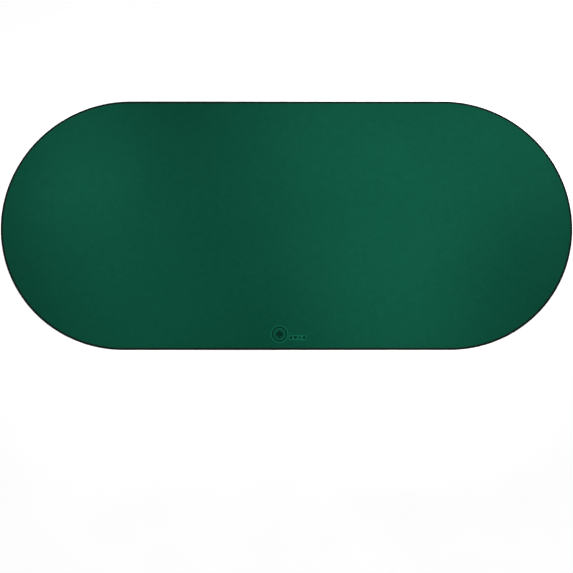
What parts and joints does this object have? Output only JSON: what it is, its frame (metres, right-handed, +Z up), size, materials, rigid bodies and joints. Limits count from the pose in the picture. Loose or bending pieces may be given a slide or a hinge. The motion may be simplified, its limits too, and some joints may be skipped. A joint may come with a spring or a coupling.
{
  "type": "roll-up poker table top",
  "caption": "Thin roll-up poker table top with rounded ends: green speed cloth on a black foam-rubber base, laid flat, which rolls up along its length.",
  "frame": {"origin": "on the underside of the mat, at the centre of its length and width, where it lies on a table", "axes": "+X along the length, from the end that is outermost in the roll to the end that is innermost; +Y across the width, from the long edge with the printed emblem to the plain one; +Z up, out of the playing surface"},
  "size_m": [1.829, 0.808, 0.003],
  "materials": {
    "speed_cloth": "smooth woven polyester speed cloth, matt with a faint sheen",
    "foam_base": "matt black foam rubber with a fine non-slip texture",
    "edge_thread": "black polyester overlock thread",
    "emblem_print": "dark green print in the cloth"
  },
  "bodies": {
    "strip_01": {"foam_base_01": "foam_base", "speed_cloth_01": "speed_cloth"},
    "strip_02": {"foam_base_02": "foam_base", "speed_cloth_02": "speed_cloth"},
    "strip_03": {"foam_base_03": "foam_base", "speed_cloth_03": "speed_cloth"},
    "strip_04": {"foam_base_04": "foam_base", "speed_cloth_04": "speed_cloth"},
    "strip_05": {"foam_base_05": "foam_base", "speed_cloth_05": "speed_cloth"},
    "strip_06": {"foam_base_06": "foam_base", "speed_cloth_06": "speed_cloth"},
    "strip_07": {"foam_base_07": "foam_base", "speed_cloth_07": "speed_cloth"},
    "strip_08": {"foam_base_08": "foam_base", "speed_cloth_08": "speed_cloth"},
    "strip_09": {"foam_base_09": "foam_base", "speed_cloth_09": "speed_cloth"},
    "strip_10": {"foam_base_10": "foam_base", "speed_cloth_10": "speed_cloth"},
    "strip_11": {"foam_base_11": "foam_base", "speed_cloth_11": "speed_cloth"},
    "strip_12": {"foam_base_12": "foam_base", "speed_cloth_12": "speed_cloth"},
    "strip_13": {"foam_base_13": "foam_base", "speed_cloth_13": "speed_cloth"},
    "strip_14": {"foam_base_14": "foam_base", "speed_cloth_14": "speed_cloth"},
    "strip_15": {"foam_base_15": "foam_base", "speed_cloth_15": "speed_cloth"},
    "strip_16": {"foam_base_16": "foam_base", "speed_cloth_16": "speed_cloth"},
    "strip_17": {"foam_base_17": "foam_base", "speed_cloth_17": "speed_cloth"},
    "strip_18": {"foam_base_18": "foam_base", "speed_cloth_18": "speed_cloth"},
    "strip_19": {"foam_base_19": "foam_base", "speed_cloth_19": "speed_cloth"},
    "strip_20": {"foam_base_20": "foam_base", "speed_cloth_20": "speed_cloth"},
    "strip_21": {"foam_base_21": "foam_base", "speed_cloth_21": "speed_cloth"},
    "strip_22": {"foam_base_22": "foam_base", "speed_cloth_22": "speed_cloth"},
    "strip_23": {"foam_base_23": "foam_base", "speed_cloth_23": "speed_cloth"},
    "strip_24": {"foam_base_24": "foam_base", "speed_cloth_24": "speed_cloth"},
    "strip_25": {"foam_base_25": "foam_base", "speed_cloth_25": "speed_cloth"},
    "strip_26": {"foam_base_26": "foam_base", "speed_cloth_26": "speed_cloth"},
    "strip_27": {"foam_base_27": "foam_base", "speed_cloth_27": "speed_cloth"},
    "strip_28": {"foam_base_28": "foam_base", "speed_cloth_28": "speed_cloth"},
    "strip_29": {"foam_base_29": "foam_base", "speed_cloth_29": "speed_cloth"}
  },
  "joints": [
    {"name": "roll_up", "type": "hinge", "parent": "strip_01", "child": "strip_02", "pos_m": [-0.832, 0, 0.003], "axis": [0, -1, 0], "range_deg": [0, 51.43]},
    {"name": "roll_bend_03", "type": "hinge", "parent": "strip_02", "child": "strip_03", "pos_m": [-0.75115, 0, 0.003], "axis": [0, -1, 0], "range_deg": [0, 51.43]},
    {"name": "roll_bend_04", "type": "hinge", "parent": "strip_03", "child": "strip_04", "pos_m": [-0.67191, 0, 0.003], "axis": [0, -1, 0], "range_deg": [0, 51.43]},
    {"name": "roll_bend_05", "type": "hinge", "parent": "strip_04", "child": "strip_05", "pos_m": [-0.59426, 0, 0.003], "axis": [0, -1, 0], "range_deg": [0, 51.43]},
    {"name": "roll_bend_06", "type": "hinge", "parent": "strip_05", "child": "strip_06", "pos_m": [-0.51816, 0, 0.003], "axis": [0, -1, 0], "range_deg": [0, 51.43]},
    {"name": "roll_bend_07", "type": "hinge", "parent": "strip_06", "child": "strip_07", "pos_m": [-0.44359, 0, 0.003], "axis": [0, -1, 0], "range_deg": [0, 51.43]},
    {"name": "roll_bend_08", "type": "hinge", "parent": "strip_07", "child": "strip_08", "pos_m": [-0.3705, 0, 0.003], "axis": [0, -1, 0], "range_deg": [0, 51.43]},
    {"name": "roll_bend_09", "type": "hinge", "parent": "strip_08", "child": "strip_09", "pos_m": [-0.29888, 0, 0.003], "axis": [0, -1, 0], "range_deg": [0, 51.43]},
    {"name": "roll_bend_10", "type": "hinge", "parent": "strip_09", "child": "strip_10", "pos_m": [-0.22869, 0, 0.003], "axis": [0, -1, 0], "range_deg": [0, 51.43]},
    {"name": "roll_bend_11", "type": "hinge", "parent": "strip_10", "child": "strip_11", "pos_m": [-0.15991, 0, 0.003], "axis": [0, -1, 0], "range_deg": [0, 51.43]},
    {"name": "roll_bend_12", "type": "hinge", "parent": "strip_11", "child": "strip_12", "pos_m": [-0.0925, 0, 0.003], "axis": [0, -1, 0], "range_deg": [0, 51.43]},
    {"name": "roll_bend_13", "type": "hinge", "parent": "strip_12", "child": "strip_13", "pos_m": [-0.02644, 0, 0.003], "axis": [0, -1, 0], "range_deg": [0, 51.43]},
    {"name": "roll_bend_14", "type": "hinge", "parent": "strip_13", "child": "strip_14", "pos_m": [0.0383, 0, 0.003], "axis": [0, -1, 0], "range_deg": [0, 51.43]},
    {"name": "roll_bend_15", "type": "hinge", "parent": "strip_14", "child": "strip_15", "pos_m": [0.10175, 0, 0.003], "axis": [0, -1, 0], "range_deg": [0, 51.43]},
    {"name": "roll_bend_16", "type": "hinge", "parent": "strip_15", "child": "strip_16", "pos_m": [0.16393, 0, 0.003], "axis": [0, -1, 0], "range_deg": [0, 51.43]},
    {"name": "roll_bend_17", "type": "hinge", "parent": "strip_16", "child": "strip_17", "pos_m": [0.22486, 0, 0.003], "axis": [0, -1, 0], "range_deg": [0, 51.43]},
    {"name": "roll_bend_18", "type": "hinge", "parent": "strip_17", "child": "strip_18", "pos_m": [0.28458, 0, 0.003], "axis": [0, -1, 0], "range_deg": [0, 51.43]},
    {"name": "roll_bend_19", "type": "hinge", "parent": "strip_18", "child": "strip_19", "pos_m": [0.3431, 0, 0.003], "axis": [0, -1, 0], "range_deg": [0, 51.43]},
    {"name": "roll_bend_20", "type": "hinge", "parent": "strip_19", "child": "strip_20", "pos_m": [0.40045, 0, 0.003], "axis": [0, -1, 0], "range_deg": [0, 51.43]},
    {"name": "roll_bend_21", "type": "hinge", "parent": "strip_20", "child": "strip_21", "pos_m": [0.45665, 0, 0.003], "axis": [0, -1, 0], "range_deg": [0, 51.43]},
    {"name": "roll_bend_22", "type": "hinge", "parent": "strip_21", "child": "strip_22", "pos_m": [0.51173, 0, 0.003], "axis": [0, -1, 0], "range_deg": [0, 51.43]},
    {"name": "roll_bend_23", "type": "hinge", "parent": "strip_22", "child": "strip_23", "pos_m": [0.56571, 0, 0.003], "axis": [0, -1, 0], "range_deg": [0, 51.43]},
    {"name": "roll_bend_24", "type": "hinge", "parent": "strip_23", "child": "strip_24", "pos_m": [0.6186, 0, 0.003], "axis": [0, -1, 0], "range_deg": [0, 51.43]},
    {"name": "roll_bend_25", "type": "hinge", "parent": "strip_24", "child": "strip_25", "pos_m": [0.67044, 0, 0.003], "axis": [0, -1, 0], "range_deg": [0, 51.43]},
    {"name": "roll_bend_26", "type": "hinge", "parent": "strip_25", "child": "strip_26", "pos_m": [0.72125, 0, 0.003], "axis": [0, -1, 0], "range_deg": [0, 51.43]},
    {"name": "roll_bend_27", "type": "hinge", "parent": "strip_26", "child": "strip_27", "pos_m": [0.77103, 0, 0.003], "axis": [0, -1, 0], "range_deg": [0, 51.43]},
    {"name": "roll_bend_28", "type": "hinge", "parent": "strip_27", "child": "strip_28", "pos_m": [0.81983, 0, 0.003], "axis": [0, -1, 0], "range_deg": [0, 51.43]},
    {"name": "roll_bend_29", "type": "hinge", "parent": "strip_28", "child": "strip_29", "pos_m": [0.86764, 0, 0.003], "axis": [0, -1, 0], "range_deg": [0, 51.43]}
  ],
  "couplings": [
    {"joint": "roll_bend_03", "follows": "roll_up", "ratio": 1},
    {"joint": "roll_bend_04", "follows": "roll_up", "ratio": 1},
    {"joint": "roll_bend_05", "follows": "roll_up", "ratio": 1},
    {"joint": "roll_bend_06", "follows": "roll_up", "ratio": 1},
    {"joint": "roll_bend_07", "follows": "roll_up", "ratio": 1},
    {"joint": "roll_bend_08", "follows": "roll_up", "ratio": 1},
    {"joint": "roll_bend_09", "follows": "roll_up", "ratio": 1},
    {"joint": "roll_bend_10", "follows": "roll_up", "ratio": 1},
    {"joint": "roll_bend_11", "follows": "roll_up", "ratio": 1},
    {"joint": "roll_bend_12", "follows": "roll_up", "ratio": 1},
    {"joint": "roll_bend_13", "follows": "roll_up", "ratio": 1},
    {"joint": "roll_bend_14", "follows": "roll_up", "ratio": 1},
    {"joint": "roll_bend_15", "follows": "roll_up", "ratio": 1},
    {"joint": "roll_bend_16", "follows": "roll_up", "ratio": 1},
    {"joint": "roll_bend_17", "follows": "roll_up", "ratio": 1},
    {"joint": "roll_bend_18", "follows": "roll_up", "ratio": 1},
    {"joint": "roll_bend_19", "follows": "roll_up", "ratio": 1},
    {"joint": "roll_bend_20", "follows": "roll_up", "ratio": 1},
    {"joint": "roll_bend_21", "follows": "roll_up", "ratio": 1},
    {"joint": "roll_bend_22", "follows": "roll_up", "ratio": 1},
    {"joint": "roll_bend_23", "follows": "roll_up", "ratio": 1},
    {"joint": "roll_bend_24", "follows": "roll_up", "ratio": 1},
    {"joint": "roll_bend_25", "follows": "roll_up", "ratio": 1},
    {"joint": "roll_bend_26", "follows": "roll_up", "ratio": 1},
    {"joint": "roll_bend_27", "follows": "roll_up", "ratio": 1},
    {"joint": "roll_bend_28", "follows": "roll_up", "ratio": 1},
    {"joint": "roll_bend_29", "follows": "roll_up", "ratio": 1}
  ]
}
